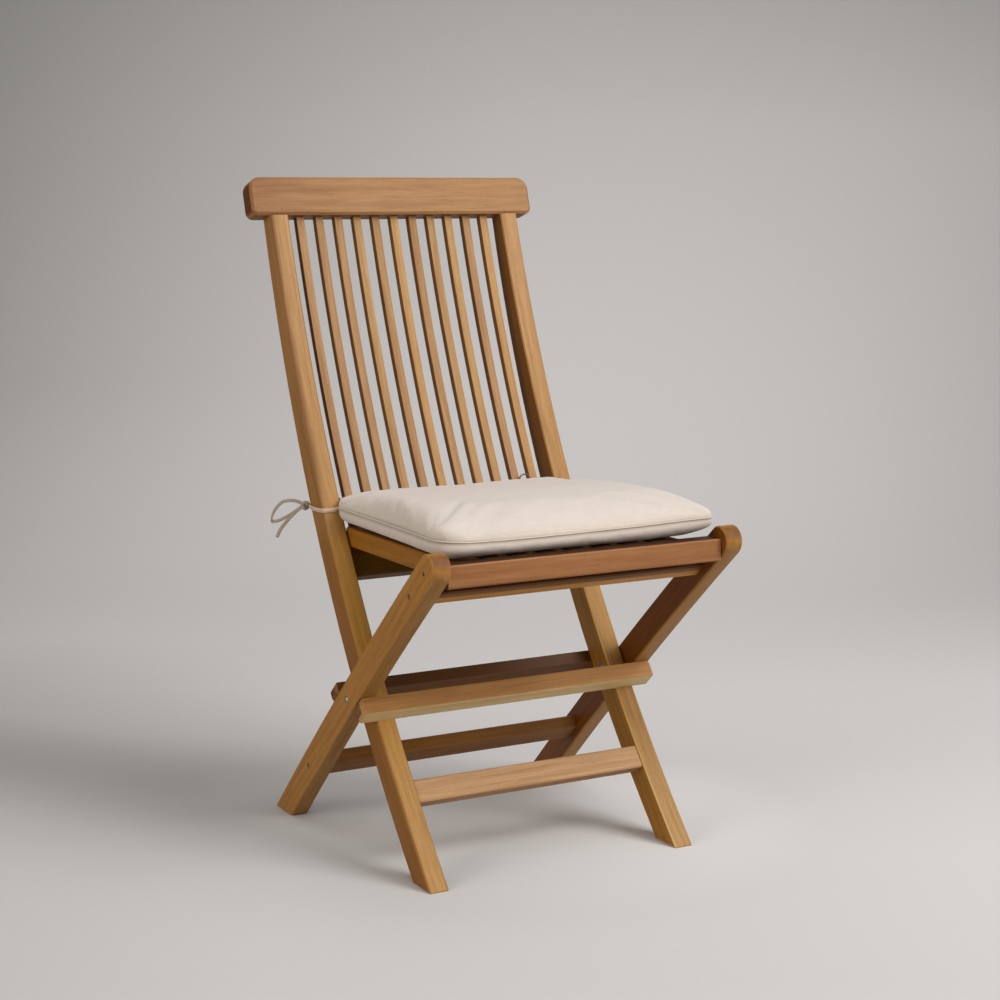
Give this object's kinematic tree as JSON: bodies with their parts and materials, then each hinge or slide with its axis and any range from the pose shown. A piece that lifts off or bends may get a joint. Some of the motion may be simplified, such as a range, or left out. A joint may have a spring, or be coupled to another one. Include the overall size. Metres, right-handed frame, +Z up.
{
  "type": "folding garden side chair",
  "caption": "Armless folding chair in oiled hardwood with a curved slatted back, crossed legs and a tied, piped seat cushion.",
  "frame": {"origin": "on the floor, under the middle of the chair's overall size", "axes": "+X across the chair, the front faces -Y, +Z up"},
  "size_m": [0.4674, 0.6156, 0.9236],
  "materials": {
    "teak": "oiled, satin",
    "canvas": "matt woven canvas",
    "steel": "brushed stainless"
  },
  "bodies": {
    "back_frame": {"back_rail": "teak", "back_rail_peg_left": "teak", "back_rail_peg_right": "teak", "back_slat_01": "teak", "back_slat_02": "teak", "back_slat_03": "teak", "back_slat_04": "teak", "back_slat_05": "teak", "back_slat_06": "teak", "back_slat_07": "teak", "back_slat_08": "teak", "back_slat_09": "teak", "back_slat_10": "teak", "back_slat_11": "teak", "crest_rail": "teak", "front_stop_bar": "teak", "front_stretcher": "teak", "front_stretcher_peg_left": "teak", "front_stretcher_peg_right": "teak", "pivot_bolt_left": "steel", "pivot_bolt_right": "steel", "pivot_nut_left": "steel", "pivot_nut_right": "steel", "pivot_washer_left": "steel", "pivot_washer_right": "steel", "rear_stop_bar": "teak", "stile_left": "teak", "stile_right": "teak", "tie_bow_left": "canvas", "tie_bow_right": "canvas", "tie_strap_left": "canvas", "tie_strap_right": "canvas"},
    "leg_frame": {"leg_left": "teak", "leg_right": "teak", "rear_stretcher": "teak", "rear_stretcher_peg_left": "teak", "rear_stretcher_peg_right": "teak", "upper_leg_rail": "teak", "upper_rail_peg_left": "teak", "upper_rail_peg_right": "teak"},
    "seat": {"cushion": "canvas", "seat_front_rail": "teak", "seat_pin_left": "steel", "seat_pin_right": "steel", "seat_rear_rail": "teak", "seat_side_rail_left": "teak", "seat_side_rail_right": "teak", "seat_slat_1": "teak", "seat_slat_2": "teak", "seat_slat_3": "teak", "seat_slat_4": "teak", "seat_slat_5": "teak", "seat_slat_6": "teak", "seat_slat_7": "teak"}
  },
  "joints": [
    {"name": "leg_fold", "type": "hinge", "parent": "back_frame", "child": "leg_frame", "pos_m": [0, -0.04075, 0.21902], "axis": [-1, 0, 0], "range_deg": [0, 70], "deforming": ["cushion", "tie_strap_left", "tie_strap_right", "tie_bow_left", "tie_bow_right"]},
    {"name": "seat_hinge", "type": "hinge", "parent": "leg_frame", "child": "seat", "pos_m": [0, -0.2842, 0.43], "axis": [1, 0, 0], "range_deg": [0, 134.4]}
  ],
  "couplings": [
    {"joint": "seat_hinge", "follows": "leg_fold", "ratio": 1.92}
  ]
}
